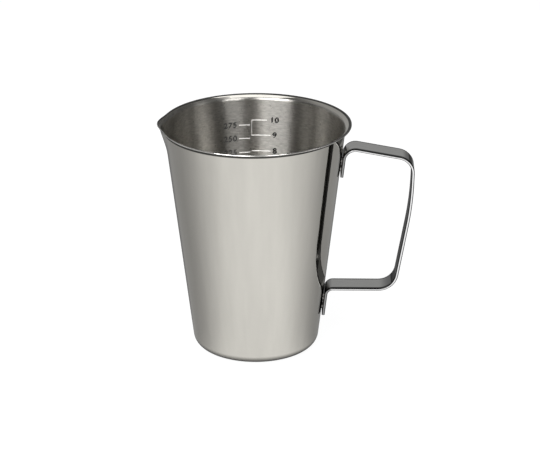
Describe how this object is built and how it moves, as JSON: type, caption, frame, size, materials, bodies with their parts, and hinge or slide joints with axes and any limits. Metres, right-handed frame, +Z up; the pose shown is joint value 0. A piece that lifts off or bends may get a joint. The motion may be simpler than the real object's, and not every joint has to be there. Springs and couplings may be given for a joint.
{
  "type": "measuring jug",
  "caption": "Conical polished steel measuring jug with a flared lip, a pinched pouring spout, a stamped scale inside and a bent strap handle, for measuring and pouring drinks.",
  "frame": {"origin": "middle of the base, on the plane that the jug stands on and on the axis of the body", "axes": "+Z up along the axis of the body, +X towards the handle, -X towards the spout, +Y towards the wall with the scale"},
  "size_m": [0.1104, 0.0826, 0.101],
  "materials": {
    "body_steel": "polished outside, satin brushed inside",
    "handle_steel": "polished",
    "weld_steel": "dull weld dimple"
  },
  "bodies": {
    "root": {"body": "body_steel", "handle": "handle_steel", "upper_spot_welds": "weld_steel", "lower_spot_welds": "weld_steel"}
  },
  "joints": []
}
